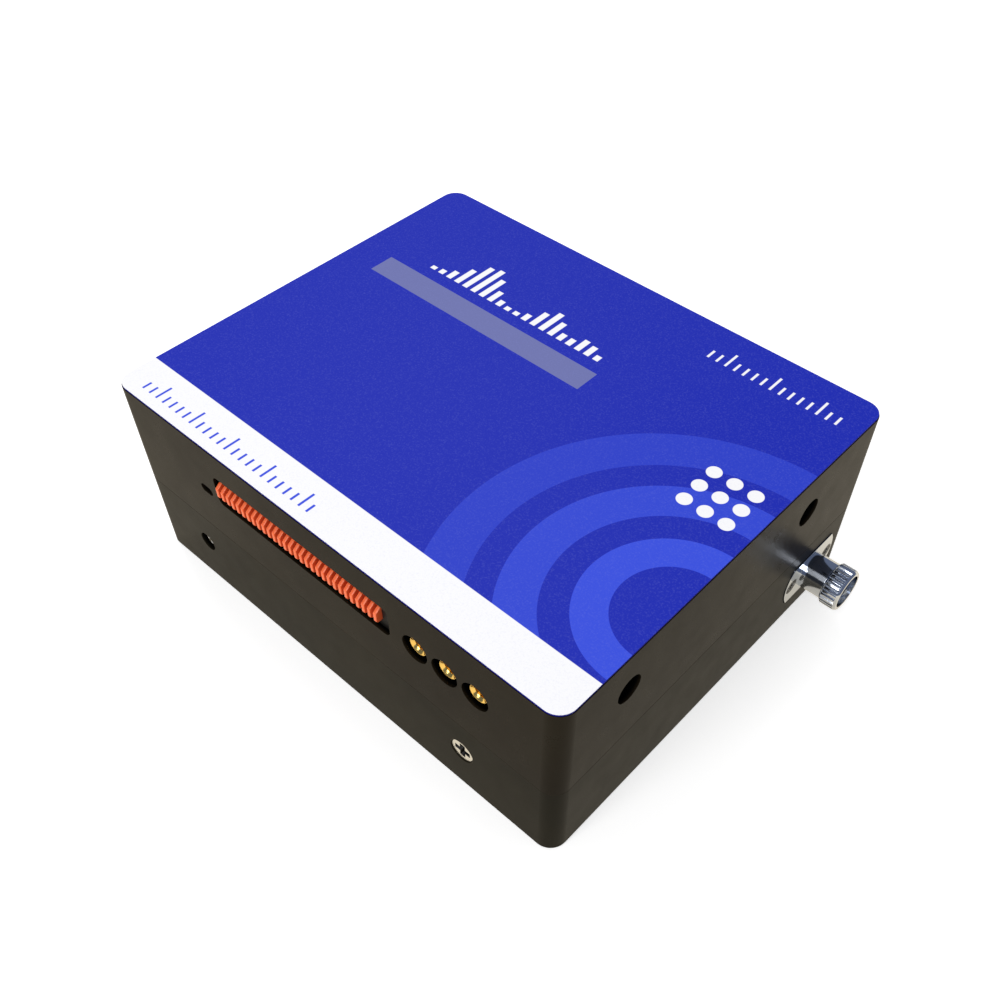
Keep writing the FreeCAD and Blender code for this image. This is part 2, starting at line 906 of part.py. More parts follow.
def heading(start, *targets):
    # The bearing that halves the angle between the ways from one spot to two others
    total = point(0, 0, 0)
    for target in targets:
        way = target - start
        total = total + way / way.Length
    return math.degrees(math.atan2(total.y, total.x))


collimator_heading = heading(collimator_spot, slit_spot, grating_spot)
focuser_heading = heading(focuser_spot, grating_spot, detector_spot)
grating_heading = heading(grating_spot, collimator_spot, focuser_spot) - grating_tilt_degrees


def set_down(solid, spot, degrees):
    moved = solid.copy()
    turn = FreeCAD.Placement(spot, FreeCAD.Rotation(upward, degrees))
    moved.Placement = turn.multiply(moved.Placement)
    return moved


def bench_place(spot, degrees, x, y):
    # Where a place measured from an optic's face lies on the bench
    angle = math.radians(degrees)
    return (
        spot.x + x * math.cos(angle) - y * math.sin(angle),
        spot.y + x * math.sin(angle) + y * math.cos(angle),
    )


def concave_mirror(focal_length):
    blank = block((-mirror_thickness, 0), span(0, mirror_width), span(0, optic_height))
    radius = 2 * focal_length
    sag = (mirror_width ** 2 + optic_height ** 2) / (8 * radius)
    return blank.cut(Part.makeSphere(radius, point(radius - sag, 0, 0)))


mount_rear = -mirror_thickness - mount_plate
mount_half_width = mirror_width / 2 + mount_margin
mount_screw_x = mount_rear - mount_foot_length * mount_screw_share
mount_screw_y = mirror_width / 4 + mount_screw_side


def optic_mount():
    top = optic_height / 2
    foot_top = floor_level + mount_foot_thickness
    plate = block((mount_rear, -mirror_thickness), span(0, 2 * mount_half_width), (floor_level, top))
    foot = block(
        (mount_rear - mount_foot_length, mount_rear), span(0, 2 * mount_half_width), (floor_level, foot_top),
    )
    rib_side = -mount_rib_width / 2
    rib = prism(
        [point(mount_rear, rib_side, foot_top),
         point(mount_rear - mount_foot_length * mount_rib_share, rib_side, foot_top),
         point(mount_rear, rib_side, top)],
        into_front * mount_rib_width,
    )
    lips = [
        block(
            (-mirror_thickness, -mirror_thickness + mount_lip),
            (side * mount_half_width, side * mirror_width / 2), (floor_level, top),
        )
        for side in (-1, 1)
    ]
    mount = plate.fuse([foot, rib] + lips).removeSplitter()
    holes = [
        upright_rod(m25_radius + hole_gap, mount_screw_x, side * mount_screw_y, floor_level - overrun, 0)
        for side in (-1, 1)
    ]
    return mount.cut(holes)


def mount_screws():
    screw = slotted_screw(m25_radius, optic_screw_length, m25_head_radius, m25_head_height)
    seat = floor_level + mount_foot_thickness
    return [placed(screw, point(mount_screw_x, side * mount_screw_y, seat), upward) for side in (-1, 1)]


turntable_screw_angle = math.radians(turntable_screw_degrees)
turntable_screw_spots = [
    (turntable_screw_radius * math.cos(angle), turntable_screw_radius * math.sin(angle))
    for angle in (-turntable_screw_angle, turntable_screw_angle)
]


def diffraction_grating():
    return block((-grating_thickness, 0), span(0, grating_width), span(0, optic_height))


def grating_turntable():
    # A disc with a pocket that the grating stands in, and a plate behind its back
    top = floor_level + turntable_thickness
    disc = upright_rod(turntable_radius, 0, 0, floor_level, top)
    plate = block(
        (-grating_thickness - mount_plate, -grating_thickness),
        span(0, grating_width - 2 * grating_plate_inset), (floor_level, optic_height / 2),
    )
    table = disc.fuse(plate).cut(diffraction_grating()).removeSplitter()
    holes = [
        upright_rod(m25_radius + hole_gap, x, y, floor_level - overrun, top + overrun)
        for x, y in turntable_screw_spots
    ]
    return table.cut(holes)


def turntable_screws():
    screw = slotted_screw(m25_radius, optic_screw_length, turntable_head_radius, m25_head_height)
    seat = floor_level + turntable_thickness
    return [placed(screw, point(x, y, seat), upward) for x, y in turntable_screw_spots]


# Screws of the long face
def bracket_screw():
    length = wall - bracket_screw_sink + bracket_wall_gap + bracket_foot
    return placed(flat_screw(m3_radius, length, bracket_head_radius), bracket_screw_point, into_front * -1)


def mirror_adjust_screw():
    # Its tip bears on the side of the focusing mirror's mount
    side_x = -mirror_thickness - mount_plate / 2
    bearing = bench_place(focuser_spot, focuser_heading, side_x, -mount_half_width)
    seat = trim_screw_point + into_front * trim_seat_depth
    screw = pan_screw(m25_radius, bearing[1] - trim_tip_gap - seat.y, trim_head_radius, trim_head_height)
    return placed(screw, seat, into_front * -1)


# Detector
def detector_package():
    package = block(
        (package_front, detector_board_front), span(detector_y, detector_length),
        span(port_height, detector_height),
    )
    well = block(
        (package_front - overrun, package_front + detector_well_depth),
        span(detector_y, detector_length - 2 * (window_inset + detector_well_end)),
        span(port_height, window_height - 2 * detector_well_side),
    )
    return package.cut(well)


def sensor_strip():
    well_floor = package_front + detector_well_depth
    return block(
        (well_floor - sensor_thickness, well_floor), span(detector_y, sensor_length),
        span(port_height, sensor_height),
    )


def window_pane(rear, thickness):
    return block(
        (rear - thickness, rear), span(detector_y, detector_length - 2 * window_inset),
        span(port_height, window_height),
    )


def detector_window():
    return window_pane(package_front, window_thickness)


def order_filter():
    return window_pane(window_front, filter_thickness)


def across_detector(radius, y, start, end):
    return rod(radius, point(start, y, port_height), point(end, y, port_height))


def detector_board():
    board = block(
        (detector_board_front, detector_board_rear), (detector_board_start, detector_board_end),
        (floor_thickness + detector_board_floor_gap, bench_top),
    )
    start = detector_board_front - overrun
    end = detector_board_rear + overrun
    return board.cut([across_detector(m2_radius + hole_gap / 2, y, start, end) for y in detector_screw_rows])


def detector_bracket():
    levels = (floor_thickness, bench_top)
    foot = block(
        (bracket_screw_point.x - bracket_screw_margin, bracket_outer),
        (bracket_front, bracket_front + bracket_foot), levels,
    )
    plate = block((bracket_outer - bracket_plate, bracket_outer), (bracket_front, detector_board_end), levels)
    pads = [
        block(
            (detector_board_rear, bracket_outer - bracket_plate), span(y, bracket_pad_width),
            span(port_height, bracket_pad_height),
        )
        for y in detector_screw_rows
    ]
    bracket = foot.fuse([plate] + pads).removeSplitter()
    bracket = bracket.common(upright_block(
        (-bracket_outer, bracket_outer), (bracket_front, -bracket_front), levels, cavity_corner_radius,
    ))
    screw_reach = wall + bracket_wall_gap + bracket_foot + overrun
    cuts = [rod(m3_radius + thread_gap, bracket_screw_point, bracket_screw_point + into_front * screw_reach)]
    for y in detector_screw_rows:
        cuts.append(across_detector(
            m2_radius + thread_gap, y, detector_board_rear - overrun, bracket_outer + overrun,
        ))
    return bracket.cut(cuts)


def detector_board_screws():
    length = board_thickness + detector_board_gap + bracket_plate
    screw = slotted_screw(m2_radius, length, m2_head_radius, m2_head_height)
    return group([
        placed(screw, point(detector_board_front, y, port_height), out_of_port * -1)
        for y in detector_screw_rows
    ])


def detector_header():
    # A pin strip on the detector's board: its pins stand up through the lid into the socket
    low = port_height + detector_height / 2 + header_above_package
    body = block(
        (detector_board_front - header_depth, detector_board_front), span(header_y, header_length),
        (low, bench_top),
    )
    pins = [
        block(
            span(header_x, header_pin_width), span(y, header_pin_width), (bench_top - root, header_pin_top),
        )
        for y in header_rows
    ]
    return body.fuse(pins)


def detector_socket():
    low = bench_top + header_to_socket
    body = block(span(header_x, header_depth), span(header_y, header_length), (low, board_bottom))
    holes = [
        block(
            span(header_x, header_hole_width), span(y, header_hole_width),
            (low - overrun, header_pin_top + tip_room),
        )
        for y in header_rows
    ]
    return body.cut(holes)


# Stray light
def stray_light_baffle():
    # A plate that stands between the port's pad and the detector
    y = (detector_board_end + port_y - port_pad_half_width) / 2
    end = inner_right - baffle_wall_gap
    return block((end - baffle_length, end), span(y, baffle_thickness), (floor_thickness, bench_top))


def light_trap():
    # A saw-toothed plate that soaks up the grating's straight reflection
    valley = inner_left + trap_thickness
    pitch = trap_length / trap_teeth
    low, high = span(0, trap_length)
    outline = [point(inner_left, low, floor_thickness)]
    for i in range(trap_teeth):
        outline.append(point(valley, low + i * pitch, floor_thickness))
        outline.append(point(valley + trap_tooth, low + (i + 0.5) * pitch, floor_thickness))
    outline.append(point(valley, high, floor_thickness))
    outline.append(point(inner_left, high, floor_thickness))
    return prism(outline, upward * (bench_top - floor_thickness))


# Main board and what is soldered to it
def main_board():
    low = board_bottom - overrun
    high = board_top + overrun
    board = block((-board_right, board_right), (board_front, board_back), (board_bottom, board_top))
    notch_width = 2 * (screw_pad_radius + board_notch_gap)
    cuts = [
        block(
            (side * (post_inner - board_edge_gap), side * (board_right + overrun)), span(y, notch_width),
            (low, high),
        )
        for side in (-1, 1) for y in cover_screw_rows
    ]
    cuts += [upright_rod(m25_radius + hole_gap, x, y, low, high) for x, y in board_holes]
    return board.cut(cuts)


def board_standoffs():
    standoffs = []
    for x, y in board_holes:
        column = hexagon(standoff_across_flats, seam_height, board_bottom)
        column.translate(point(x, y, 0))
        stud = upright_rod(m25_radius, x, y, lid_bottom, seam_height + root)
        bore_bottom = board_top - board_screw_length - tip_room
        bore = upright_rod(m25_radius + thread_gap, x, y, bore_bottom, board_bottom + overrun)
        standoffs.append(column.fuse(stud).cut(bore))
    return group(standoffs)


def board_screws():
    screw = slotted_screw(m25_radius, board_screw_length, m25_head_radius, m25_head_height)
    return group([placed(screw, point(x, y, board_top), upward) for x, y in board_holes])


def chip(from_middle, from_front, length, width, height):
    return block(
        span(from_middle, length), span(board_front + from_front, width), (board_top, board_top + height),
    )


def processor_chip():
    return chip(processor_from_middle, processor_from_front, processor_side, processor_side, processor_height)


def converter_chip():
    return chip(converter_from_middle, converter_from_front, converter_side, converter_side, converter_height)


def memory_chip():
    return chip(memory_from_middle, memory_from_front, memory_length, memory_width, memory_height)


def filter_capacitors():
    shoulder = capacitor_height - capacitor_shoulder
    return group([
        turned(
            [(0, 0), (0, capacitor_radius), (shoulder, capacitor_radius),
             (capacitor_height, capacitor_radius - capacitor_shoulder), (capacitor_height, 0)],
            point(capacitor_from_middle + i * capacitor_spacing, board_back - capacitor_from_back, board_top),
            upward,
        )
        for i in range(capacitor_count)
    ])


# Comb connector
comb_front = front - fin_proud
comb_back = comb_front + fin_depth + comb_spine
fin_low, fin_high = span(slot_axis, fin_height)
fin_stations = [slot_left + fin_left_margin + i * fin_spacing for i in range(fin_count)]
comb_left = fin_stations[0] - fin_thickness / 2
comb_right = fin_stations[-1] + fin_thickness / 2


def fin_profile(x):
    # One fin seen from the side: a flat front under a sloping brow, with a small lower lip
    brow_back = comb_front + fin_brow_depth
    return [
        point(x, comb_back, fin_low),
        point(x, comb_front + fin_lip, fin_low),
        point(x, comb_front, fin_low + fin_lip),
        point(x, comb_front, fin_high - fin_brow_drop),
        point(x, brow_back, fin_high),
        point(x, comb_back, fin_high),
    ]


def connector_comb():
    spine = block((comb_left, comb_right), (comb_back - comb_spine, comb_back), (fin_low, fin_high))
    fins = [prism(fin_profile(x - fin_thickness / 2), out_of_port * fin_thickness) for x in fin_stations]
    return spine.fuse(fins).removeSplitter()


def connector_shroud():
    nose = slot_block(
        slot_length - 2 * shroud_gap, slot_height - 2 * shroud_gap, shroud_recess,
        wall + shroud_wall_gap + root, slot_corner_radius - shroud_gap,
    )
    rear = block(
        span(slot_middle, slot_length + 2 * shroud_side_margin),
        (inner_front + shroud_wall_gap, front + shroud_depth), (board_top, board_top + shroud_body_height),
    )
    channel = block(
        (comb_left - channel_side_gap, comb_right + channel_side_gap), (front - overrun, comb_back),
        (fin_low, fin_high + channel_head_room),
    )
    return nose.fuse(rear).removeSplitter().cut(channel)


def connector_contacts():
    # One bent tail behind the moulding for each way, down to the board
    start = front + shroud_depth
    end = start + contact_reach
    tails = []
    for x in fin_stations:
        out = block(span(x, contact_width), (start, end), span(slot_axis, contact_width))
        down = block(span(x, contact_width), (end - contact_thickness, end), (board_top, slot_axis))
        tails.append(out.fuse(down).removeSplitter())
    return group(tails)


# Coaxial jacks, made from the long face inwards
jack_base_start = wall + jack_base_gap
jack_bore_end = jack_base_start + overrun


def trigger_jacks():
    jacks = []
    for x in jack_stations:
        mouth = point(x, front, jack_axis)
        tube_end = jack_base_start + root
        tube = turned(
            [(jack_recess, jack_bore_radius + jack_mouth_flare), (jack_recess, jack_radius - jack_rim_chamfer),
             (jack_recess + jack_rim_chamfer, jack_radius), (tube_end, jack_radius),
             (tube_end, jack_bore_radius), (jack_recess + jack_mouth_flare, jack_bore_radius)],
            mouth, into_front,
        )
        base = block(
            span(x, jack_spacing - jack_base_side_gap),
            (front + jack_base_start, front + jack_base_start + jack_base_depth),
            (board_top, board_top + jack_base_height),
        )
        bore = rod(jack_bore_radius, mouth, mouth + into_front * jack_bore_end)
        jacks.append(tube.fuse(base).removeSplitter().cut(bore))
    return group(jacks)


def jack_insulators():
    start = jack_bore_end - jack_insulator_length
    inner = jack_contact_radius + insulator_gap
    outer = jack_bore_radius - insulator_gap
    return group([
        turned(
            [(start, inner), (start, outer), (jack_bore_end, outer), (jack_bore_end, inner)],
            point(x, front, jack_axis), into_front,
        )
        for x in jack_stations
    ])


def jack_contacts():
    start = jack_bore_end - jack_contact_length
    return group([
        turned(
            [(start, 0), (start, jack_contact_radius - jack_contact_tip),
             (start + jack_contact_tip, jack_contact_radius), (jack_bore_end, jack_contact_radius),
             (jack_bore_end, 0)],
            point(x, front, jack_axis), into_front,
        )
        for x in jack_stations
    ])


# Status light
def light_guide():
    return light_oblong(light_guide_gap, light_guide_recess, wall + light_guide_reach)


def status_light():
    start = front + wall + board_edge_gap
    return block(
        span(light_x, light_slot_length - 2 * status_light_inset), (start, start + status_light_depth),
        (board_top, light_axis + status_light_above_axis),
    )


# Data socket
socket_end = plug_pocket_depth + socket_depth
socket_inner_width = socket_width - 2 * socket_wall
socket_inner_height = socket_height - 2 * socket_wall


def data_socket_shell():
    outer = side_pocket(socket_width, socket_height, plug_pocket_depth, socket_end, socket_corner_radius)
    inner = side_pocket(
        socket_inner_width, socket_inner_height, plug_pocket_depth - overrun, socket_end - socket_wall,
        socket_corner_radius - socket_wall,
    )
    return outer.cut(inner)


def data_socket_tongue():
    start = left + plug_pocket_depth + tongue_recess
    end = left + socket_end - socket_wall
    tongue = block((start, end), span(0, tongue_width), span(socket_axis, tongue_thickness))
    rear = block(
        (end - tongue_block_depth, end), span(0, socket_inner_width - 2 * tongue_block_gap),
        span(socket_axis, socket_inner_height - 2 * tongue_block_gap),
    )
    return tongue.fuse(rear).removeSplitter()


def data_socket_contacts():
    start = left + plug_pocket_depth + socket_contact_recess
    top = socket_axis + tongue_thickness / 2
    middle = (socket_contact_count - 1) / 2
    return group([
        block(
            (start, start + socket_contact_length),
            span((i - middle) * socket_contact_spacing, socket_contact_width),
            (top, top + socket_contact_thickness),
        )
        for i in range(socket_contact_count)
    ])


def screw_hole_places(spot, degrees, places, screwed_thickness):
    depth = optic_screw_length - screwed_thickness + tip_room
    return [bench_place(spot, degrees, x, y) + (depth,) for x, y in places]


def build():
    mirrors = (
        ("collimating", collimator_spot, collimator_heading, (collimator_spot - slit_spot).Length),
        ("focusing", focuser_spot, focuser_heading, (focuser_spot - detector_spot).Length),
    )
    mount_screw_places = [(mount_screw_x, side * mount_screw_y) for side in (-1, 1)]
    screws = []
    floor_holes = []
    for name, spot, degrees, focal_length in mirrors:
        parts[name + "_mirror"] = set_down(concave_mirror(focal_length), spot, degrees)
        parts[name + "_mount"] = set_down(optic_mount(), spot, degrees)
        screws += [set_down(screw, spot, degrees) for screw in mount_screws()]
        floor_holes += screw_hole_places(spot, degrees, mount_screw_places, mount_foot_thickness)
    parts["optic_screws"] = group(screws)
    parts["diffraction_grating"] = set_down(diffraction_grating(), grating_spot, grating_heading)
    parts["grating_turntable"] = set_down(grating_turntable(), grating_spot, grating_heading)
    parts["turntable_screws"] = group([
        set_down(screw, grating_spot, grating_heading) for screw in turntable_screws()
    ])
    floor_holes += screw_hole_places(
        grating_spot, grating_heading, turntable_screw_spots, turntable_thickness,
    )
    parts["lower_housing"] = lower_housing(floor_holes)
    for make in (
        upper_housing, top_label, bench_lid, lid_gasket, lid_screws, cover_posts, post_screws, cover_screws,
        fibre_port_body, port_screws, coupling_ring, ring_clip, slit_disc, slit_retainer, bracket_screw,
        mirror_adjust_screw, detector_package, sensor_strip, detector_window, order_filter, detector_board,
        detector_bracket, detector_board_screws, detector_header, detector_socket, stray_light_baffle,
        light_trap, main_board, board_standoffs, board_screws, processor_chip, converter_chip, memory_chip,
        filter_capacitors, connector_comb, connector_shroud, connector_contacts, trigger_jacks,
        jack_insulators, jack_contacts, light_guide, status_light, data_socket_shell, data_socket_tongue,
        data_socket_contacts,
    ):
        parts[make.__name__] = make()


build()
os.makedirs("parts", exist_ok=True)
for name, shape in parts.items():
    shape.exportStep("parts/" + name + ".step")
    print(name, len(shape.Solids), round(shape.Volume, 1), shape.isValid())
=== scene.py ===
import bpy
import json
import math
from mathutils import Matrix, Vector


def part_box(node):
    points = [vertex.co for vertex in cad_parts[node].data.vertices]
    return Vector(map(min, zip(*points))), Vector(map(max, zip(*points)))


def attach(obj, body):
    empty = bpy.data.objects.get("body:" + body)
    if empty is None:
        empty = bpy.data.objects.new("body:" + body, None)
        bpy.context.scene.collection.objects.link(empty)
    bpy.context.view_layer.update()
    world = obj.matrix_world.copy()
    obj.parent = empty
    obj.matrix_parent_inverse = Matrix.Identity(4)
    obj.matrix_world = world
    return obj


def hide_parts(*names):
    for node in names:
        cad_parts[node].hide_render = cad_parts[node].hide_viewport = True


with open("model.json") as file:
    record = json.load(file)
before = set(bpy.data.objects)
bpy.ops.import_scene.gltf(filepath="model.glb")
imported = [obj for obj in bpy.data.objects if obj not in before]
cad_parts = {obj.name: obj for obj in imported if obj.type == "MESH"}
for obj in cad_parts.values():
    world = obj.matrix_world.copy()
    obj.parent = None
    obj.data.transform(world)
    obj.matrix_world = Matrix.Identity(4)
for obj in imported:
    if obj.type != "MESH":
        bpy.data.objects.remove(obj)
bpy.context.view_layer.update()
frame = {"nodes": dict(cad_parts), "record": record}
mm = 0.001
print("frame loaded:", len(frame["nodes"]), "nodes")


# Camera, at the photograph's place: millimetres from the centre of the base, degrees, and pixels
# of a 1000 pixel frame for the focal length
cameraFacts = {
    "place": (103.037, -108.509, 171.172),
    "azimuth": 42.077,
    "elevation": 50.535,
    "roll": 0.474,
    "focalPixels": 1056.59,
    "frameWidth": 1000,
    "shift": (-0.01518, 0.08045),
    "sensor": 36.0,
    "nearest": 0.01,
    "farthest": 50,
}


def setCamera(facts):
    azimuth = math.radians(facts["azimuth"])
    elevation = math.radians(facts["elevation"])
    roll = math.radians(facts["roll"])
    back = Vector((
        math.sin(azimuth) * math.cos(elevation),
        -math.cos(azimuth) * math.cos(elevation),
        math.sin(elevation),
    ))
    level = (-back).cross(Vector((0, 0, 1))).normalized()
    lift = level.cross(-back)
    across = math.cos(roll) * level + math.sin(roll) * lift
    upright = math.cos(roll) * lift - math.sin(roll) * level
    bpy.ops.object.camera_add()
    camera = bpy.context.object
    camera.name = "camera"
    camera.data.sensor_width = facts["sensor"]
    camera.data.lens = facts["sensor"] * facts["focalPixels"] / facts["frameWidth"]
    camera.data.shift_x, camera.data.shift_y = facts["shift"]
    camera.data.clip_start = facts["nearest"]
    camera.data.clip_end = facts["farthest"]
    turn = Matrix((across, upright, back)).transposed().to_4x4()
    camera.matrix_world = Matrix.Translation(Vector(facts["place"]) * mm) @ turn
    bpy.context.scene.camera = camera


setCamera(cameraFacts)
print("camera set")


# Shader maths: an expression on values adds its nodes
class Value:
    def __init__(self, shading, socket):
        self.shading = shading
        self.socket = socket

    def __add__(self, other):
        return self.shading.maths("ADD", self, other)

    def __radd__(self, other):
        return self.shading.maths("ADD", other, self)

    def __sub__(self, other):
        return self.shading.maths("SUBTRACT", self, other)

    def __rsub__(self, other):
        return self.shading.maths("SUBTRACT", other, self)

    def __mul__(self, other):
        return self.shading.maths("MULTIPLY", self, other)

    def __rmul__(self, other):
        return self.shading.maths("MULTIPLY", other, self)

    def __truediv__(self, other):
        return self.shading.maths("DIVIDE", self, other)

    def __rtruediv__(self, other):
        return self.shading.maths("DIVIDE", other, self)


class Shading:
    # The nodes of a material or of the world
    def __init__(self, owner):
        owner.use_nodes = True
        self.nodes = owner.node_tree.nodes
        self.links = owner.node_tree.links

    def add(self, kind, settings, values, output=0):
        node = self.nodes.new(kind)
        for key, value in settings.items():
            setattr(node, key, value)
        for key, value in values.items():
            self.feed(node.inputs[key], value)
        return Value(self, node.outputs[output])

    def feed(self, socket, value):
        if isinstance(value, Value):
            self.links.new(value.socket, socket)
        else:
            socket.default_value = value

    def maths(self, operation, first, second=0.0):
        return self.add("ShaderNodeMath", {"operation": operation}, {0: first, 1: second})

    def size(self, value):
        return self.maths("ABSOLUTE", value)

    def distance(self, across, along):
        return self.maths("SQRT", across * across + along * along)

    def offCell(self, value, pitch):
        # How far a place is from the middle of its cell, in a row of cells
        cell = self.maths("FLOOR", value / pitch)
        return value - (cell + 0.5) * pitch

    def clamp(self, value):
        return self.add("ShaderNodeClamp", {}, {"Value": value})

    def blend(self, amount, first, second):
        settings = {"data_type": "RGBA", "clamp_factor": True}
        return self.add("ShaderNodeMix", settings, {0: amount, 6: first, 7: second}, 2)

    def ray(self, kind):
        return self.add("ShaderNodeLightPath", {}, {}, "Is %s Ray" % kind)

    def place(self):
        return self.add("ShaderNodeTexCoord", {}, {}, "Object")

    def axes(self):
        # Object coordinates in millimetres
        return [
            self.add("ShaderNodeSeparateXYZ", {}, {0: self.place()}, i) / mm for i in range(3)
        ]

    def grain(self, size, detail=2.0):
        # Noise whose spots are about this many millimetres across
        values = {"Vector": self.place(), "Scale": 1 / (size * mm), "Detail": detail}
        return self.add("ShaderNodeTexNoise", {}, values)


class Finish(Shading):
    # One material: a principled shader and what feeds it
    def __init__(self, name, **constants):
        self.material = bpy.data.materials.new(name)
        super().__init__(self.material)
        self.set(**constants)

    def set(self, **values):
        for key, value in values.items():
            self.feed(self.nodes["Principled BSDF"].inputs[key.replace("_", " ")], value)

    def bump(self, height, strength, distance):
        values = {"Height": height, "Strength": strength, "Distance": distance * mm}
        self.set(Normal=self.add("ShaderNodeBump", {}, values))


def shade(red, green, blue):
    # A screen colour, 0 to 255, as the shader wants it
    def linear(value):
        value = value / 255
        return value / 12.92 if value <= 0.04045 else ((value + 0.055) / 1.055) ** 2.4
    return (linear(red), linear(green), linear(blue), 1.0)


# Anodised housing. The grains and patches are in millimetres
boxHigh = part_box("lower_housing")[1]
anodisedFacts = {
    "halfLength": boxHigh[0] / mm,
    "halfWidth": boxHigh[1] / mm,
    "cornerRadius": 3.5,
    "specular": 0.032,
    "grain": 0.22,
    "grainSheen": 0.1,
    "bump": (0.15, 0.03),
    "patches": 18.0,
    "patchStart": 0.35,
    "patchContrast": 3,
    "sheenPatches": 5.0,
    "sheenChange": 0.12,
    "paintedShadeStart": 0.4,
    "paintedShadeContrast": 2,
    "openingPaintedShade": (3, 3, 3),
}


def wallDepth(finish, facts):
    # How far a place lies in from the box's outside, in millimetres
    x, y, z = finish.axes()
    radius = facts["cornerRadius"]
    past = [
        finish.size(x) - (facts["halfLength"] - radius),
        finish.size(y) - (facts["halfWidth"] - radius),
    ]
    outer = [finish.maths("MAXIMUM", value, 0.0) for value in past]
    corner = finish.distance(*outer)
    straight = finish.maths("MINIMUM", finish.maths("MAXIMUM", *past), 0.0)
    return finish.maths("MINIMUM", radius - corner - straight, z)


def anodised(name, dark, light, roughness, paintedShadeInOpenings=False):
    # Satin black, with painted shade that blackens it down in the holes and slots
    facts = anodisedFacts
    finish = Finish(name, Specular_IOR_Level=facts["specular"])
    fine = finish.grain(facts["grain"], 3.0)
    patches = (finish.grain(facts["patches"]) - facts["patchStart"]) * facts["patchContrast"]
    colour = finish.blend(finish.clamp(patches), shade(*dark), shade(*light))
    # Painted shade: the deeper a place lies in from the box's outside, the nearer black it is
    # painted
    if paintedShadeInOpenings:
        depth = wallDepth(finish, facts) * facts["paintedShadeContrast"] - facts["paintedShadeStart"]
        colour = finish.blend(finish.clamp(depth), colour, shade(*facts["openingPaintedShade"]))
    sheen = (finish.grain(facts["sheenPatches"]) - 0.5) * facts["sheenChange"]
    finish.set(Base_Color=colour)
    finish.set(Roughness=roughness + sheen + (fine - 0.5) * facts["grainSheen"])
    finish.bump(fine, *facts["bump"])
    return finish.material


# Bare metals and moulded plastics. Patches are this many grains across
metalFacts = {
    "patches": 12,
    "worn": 0.86,
    "grainSheen": 0.1,
    "bumpDepth": 0.01,
}
mouldedFacts = {
    "patches": 10,
    "grainSheen": 0.12,
    "bump": (0.12, 0.02),
}


def metal(name, colour, roughness, grainSize, strength):
    finish = Finish(name, Metallic=1.0)
    fine = finish.grain(grainSize, 3.0)
    worn = tuple(c * metalFacts["worn"] for c in shade(*colour)[:3]) + (1.0,)
    patches = finish.grain(grainSize * metalFacts["patches"])
    finish.set(Base_Color=finish.blend(patches, worn, shade(*colour)))
    finish.set(Roughness=roughness + (fine - 0.5) * metalFacts["grainSheen"])
    finish.bump(fine, strength, metalFacts["bumpDepth"])
    return finish.material


def moulded(name, dark, light, roughness, grainSize, specular=0.5):
    finish = Finish(name, Specular_IOR_Level=specular)
    fine = finish.grain(grainSize)
    patches = finish.grain(grainSize * mouldedFacts["patches"])
    finish.set(Base_Color=finish.blend(patches, shade(*dark), shade(*light)))
    finish.set(Roughness=roughness + (fine - 0.5) * mouldedFacts["grainSheen"])
    finish.bump(fine, *mouldedFacts["bump"])
    return finish.material


# The printed film. Places and sizes are in millimetres, from the centre of the top
labelArt = {
    "blue": (26, 42, 180),
    "paleBlue": (58, 82, 226),
    "white": (252, 252, 255),
    "edgeSharpness": 14,
    "stripEdge": -36.0,
    "barX": (-46.1, 9.85),
    "barY": (11.35, 17.1),
    "barPaintedShade": (112, 118, 176),
    "arcCentre": (55.0, -19.0),
    "arcs": ((13.0, 6.0, 0.95), (24.5, 7.0, 0.7), (37.0, 8.0, 0.45)),  # radius, width, strength
    "dotCentre": (45.5, 6.5),
    "dotPitch": 4.3,
    "dotRadius": 1.45,
    "dotReach": 6.45,
    "graphX": (-38.0, 8.0),
    "graphBase": 20.0,
    "graphPitch": 2.3,
    "graphBarWidth": 1.3,
    "graphLowest": 1.0,
    "graphPeaks": ((-26.0, 5.0, 8.4), (-7.0, 3.6, 5.6), (3.0, 3.0, 2.8)),  # place, width, rise
    "scaleX": (-50.2, -1.8),
    "scaleY": -42.8,
    "scaleHeights": (2.0, 1.6),  # of every tick, and what every fifth one has more
    "tickX": (21.0, 51.0),
    "tickY": 35.4,
    "tickHeights": (2.4, 1.8),
    "tickPitch": 2.0,
    "tickWidth": 0.5,
    "specular": 0.08,
    "speckle": 0.3,
    "specklePaintedShade": (150, 160, 235),
    "speckleStrength": 0.4,
    "sheen": 0.46,
    "sheenChange": 0.2,
    "bump": (0.4, 0.03),
}


